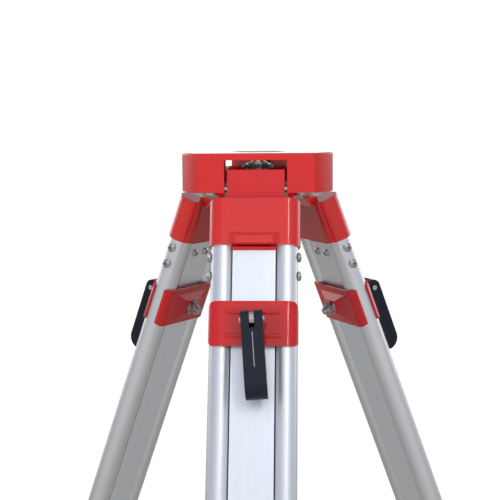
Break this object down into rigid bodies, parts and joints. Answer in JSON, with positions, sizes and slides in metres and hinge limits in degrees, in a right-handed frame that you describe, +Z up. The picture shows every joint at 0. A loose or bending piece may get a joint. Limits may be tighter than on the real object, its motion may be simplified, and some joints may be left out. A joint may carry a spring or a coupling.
{
  "type": "surveyor tripod",
  "caption": "Aluminium surveying tripod: flat head with centring screw, hinged telescopic legs of twin tubes and a sliding rail, cam-lever clamps, pedal feet with steel spikes.",
  "frame": {"origin": "centre of the head's top face, where a plumb line through the instrument passes", "axes": "+Z up out of the head's top face, -Y along the front leg's direction seen from above, +X to the right seen from the front leg"},
  "size_m": [0.7958, 0.6943, 0.9708],
  "materials": {
    "red_paint": "satin red enamel on die-cast and pressed aluminium",
    "red_plastic": "moulded red plastic",
    "aluminium": "clear anodised extrusion",
    "zinc_steel": "zinc plated",
    "arm_steel": "satin black paint on pressed steel",
    "spike_steel": "turned steel",
    "brass": "turned brass",
    "lever_black": "black glass-filled nylon",
    "black_plastic": "moulded black plastic"
  },
  "bodies": {
    "head": {"head": "red_paint", "hinge_bolts": "zinc_steel", "hinge_nuts": "zinc_steel", "arm_pivot": "zinc_steel"},
    "swing_arm": {"swing_arm": "arm_steel"},
    "screw_carriage": {"slide_bush": "zinc_steel"},
    "screw_lifter": {"retaining_clip": "zinc_steel"},
    "fixing_screw": {"fixing_screw": "brass", "knob": "black_plastic"},
    "upper_leg_front": {"bracket_front": "red_paint", "tube_a_front": "aluminium", "tube_b_front": "aluminium", "tube_screws_front": "zinc_steel", "lower_bracket_front": "red_paint"},
    "lower_leg_front": {"rail_front": "aluminium", "rail_cap_front": "red_plastic", "cap_screws_front": "zinc_steel", "clamp_front_front": "red_paint", "clamp_back_front": "red_paint", "eye_bolt_front": "zinc_steel", "clamp_nut_front": "zinc_steel", "foot_front": "red_paint", "spike_front": "spike_steel", "foot_bolts_front": "zinc_steel"},
    "lever_front": {"lever_front": "lever_black", "lever_pin_front": "zinc_steel"},
    "upper_leg_left": {"bracket_left": "red_paint", "tube_a_left": "aluminium", "tube_b_left": "aluminium", "tube_screws_left": "zinc_steel", "lower_bracket_left": "red_paint"},
    "lower_leg_left": {"rail_left": "aluminium", "rail_cap_left": "red_plastic", "cap_screws_left": "zinc_steel", "clamp_front_left": "red_paint", "clamp_back_left": "red_paint", "eye_bolt_left": "zinc_steel", "clamp_nut_left": "zinc_steel", "foot_left": "red_paint", "spike_left": "spike_steel", "foot_bolts_left": "zinc_steel"},
    "lever_left": {"lever_left": "lever_black", "lever_pin_left": "zinc_steel"},
    "upper_leg_right": {"bracket_right": "red_paint", "tube_a_right": "aluminium", "tube_b_right": "aluminium", "tube_screws_right": "zinc_steel", "lower_bracket_right": "red_paint"},
    "lower_leg_right": {"rail_right": "aluminium", "rail_cap_right": "red_plastic", "cap_screws_right": "zinc_steel", "clamp_front_right": "red_paint", "clamp_back_right": "red_paint", "eye_bolt_right": "zinc_steel", "clamp_nut_right": "zinc_steel", "foot_right": "red_paint", "spike_right": "spike_steel", "foot_bolts_right": "zinc_steel"},
    "lever_right": {"lever_right": "lever_black", "lever_pin_right": "zinc_steel"}
  },
  "joints": [
    {"name": "leg_front_hinge", "type": "hinge", "parent": "head", "child": "upper_leg_front", "pos_m": [0, -0.044, -0.0395], "axis": [-1, 0, 0], "range_deg": [-22, 15]},
    {"name": "leg_front_slide", "type": "slide", "parent": "upper_leg_front", "child": "lower_leg_front", "axis": [0, -0.3746, -0.9272], "range_m": [0, 0.58]},
    {"name": "lever_front_turn", "type": "hinge", "parent": "lower_leg_front", "child": "lever_front", "pos_m": [0, -0.1466, -0.16263], "axis": [-0.9969, -0.0294, -0.0727], "range_deg": [0, 110]},
    {"name": "leg_left_hinge", "type": "hinge", "parent": "head", "child": "upper_leg_left", "pos_m": [-0.0381, 0.022, -0.0395], "axis": [0.5, 0.866, 0], "range_deg": [-22, 15]},
    {"name": "leg_left_slide", "type": "slide", "parent": "upper_leg_left", "child": "lower_leg_left", "axis": [-0.3244, 0.1873, -0.9272], "range_m": [0, 0.58]},
    {"name": "lever_left_turn", "type": "hinge", "parent": "lower_leg_left", "child": "lever_left", "pos_m": [-0.12696, 0.0733, -0.16263], "axis": [0.5, 0.866, 0], "range_deg": [0, 110]},
    {"name": "leg_right_hinge", "type": "hinge", "parent": "head", "child": "upper_leg_right", "pos_m": [0.0381, 0.022, -0.0395], "axis": [0.5, -0.866, 0], "range_deg": [-22, 15]},
    {"name": "leg_right_slide", "type": "slide", "parent": "upper_leg_right", "child": "lower_leg_right", "axis": [0.3244, 0.1873, -0.9272], "range_m": [0, 0.58]},
    {"name": "lever_right_turn", "type": "hinge", "parent": "lower_leg_right", "child": "lever_right", "pos_m": [0.12696, 0.0733, -0.16263], "axis": [0.5, -0.866, 0], "range_deg": [0, 110]},
    {"name": "arm_swing", "type": "hinge", "parent": "head", "child": "swing_arm", "pos_m": [0, 0.042, -0.0155], "axis": [0, 0, 1], "range_deg": [-18, 18]},
    {"name": "screw_shift", "type": "slide", "parent": "swing_arm", "child": "screw_carriage", "axis": [0, 1, 0], "range_m": [-0.015, 0.015]},
    {"name": "screw_lift", "type": "slide", "parent": "screw_carriage", "child": "screw_lifter", "axis": [0, 0, 1], "range_m": [0, 0.018]},
    {"name": "screw_turn", "type": "hinge", "parent": "screw_lifter", "child": "fixing_screw", "pos_m": [0, 0, -0.05], "axis": [0, 0, 1], "continuous": true}
  ]
}
